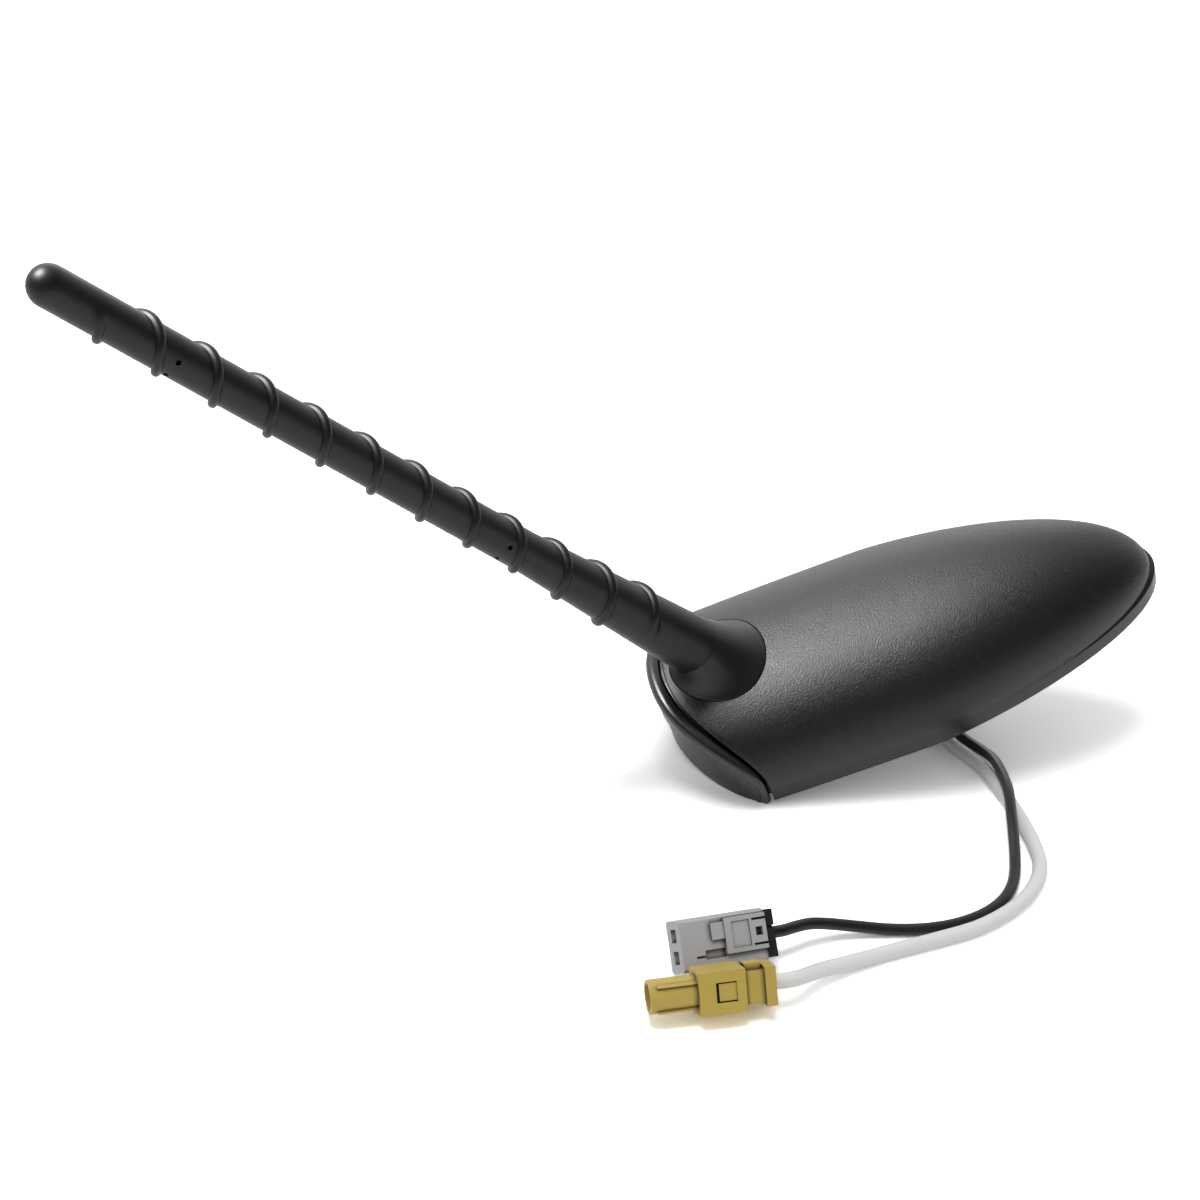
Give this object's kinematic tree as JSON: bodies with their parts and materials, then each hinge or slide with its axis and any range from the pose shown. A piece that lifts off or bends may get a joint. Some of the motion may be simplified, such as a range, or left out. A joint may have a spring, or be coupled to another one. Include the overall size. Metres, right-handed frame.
{
  "type": "roof antenna",
  "caption": "Car roof antenna: streamlined black base with a slanted screw-on mast carrying a spiral rib, hollow roof stud, and black and white leads with grey and yellow plugs.",
  "frame": {"origin": "on the axis of the roof stud, in the plane of the roof seal's sealing face", "axes": "+X towards the nose of the base, +Z away from the roof along the stud's axis, +Y to the left side"},
  "size_m": [0.2079, 0.1322, 0.2173],
  "materials": {
    "grained_cover": "grained",
    "smooth_black_plastic": "satin",
    "mast_rubber": "matte",
    "seal_rubber": "matte",
    "brass_insert": "turned",
    "diecast": "as cast",
    "plated_steel": "zinc plated",
    "board_green": "solder resist",
    "ceramic": "matte",
    "silvered": "satin",
    "spring_bronze": "rolled",
    "glass_fibre": "smooth",
    "copper_wire": "enamelled",
    "black_jacket": "satin",
    "white_jacket": "satin",
    "grey_housing": "moulded",
    "black_clamp": "moulded",
    "curry_yellow": "moulded",
    "white_insulator": "smooth",
    "gold_plated": "plated"
  },
  "bodies": {
    "root": {"cover": "grained_cover", "under_body": "smooth_black_plastic", "mast_collar": "smooth_black_plastic", "threaded_insert": "brass_insert", "roof_seal": "seal_rubber", "base_plate": "diecast", "threaded_stud": "plated_steel", "cable_grommet": "seal_rubber", "circuit_board": "board_green", "shield_can": "plated_steel", "ceramic_patch": "ceramic", "patch_electrode": "silvered", "mast_contact": "spring_bronze", "board_screw_1": "plated_steel", "board_screw_2": "plated_steel", "board_screw_3": "plated_steel", "base_screw_1": "plated_steel", "base_screw_2": "plated_steel", "base_screw_3": "plated_steel", "base_screw_4": "plated_steel", "mast_sleeve": "mast_rubber", "mast_ferrule": "plated_steel", "mast_core": "glass_fibre", "mast_winding": "copper_wire", "inner_black_lead": "black_jacket", "inner_white_lead": "white_jacket", "black_lead": "black_jacket", "white_lead": "white_jacket", "grey_housing": "grey_housing", "grey_retainer": "grey_housing", "grey_clamp": "black_clamp", "grey_contact_1": "plated_steel", "grey_contact_2": "plated_steel", "yellow_housing": "curry_yellow", "yellow_lock": "curry_yellow", "plug_outer_contact": "gold_plated", "plug_insulator": "white_insulator", "plug_centre_pin": "gold_plated", "plug_crimp_ferrule": "plated_steel"}
  },
  "joints": []
}
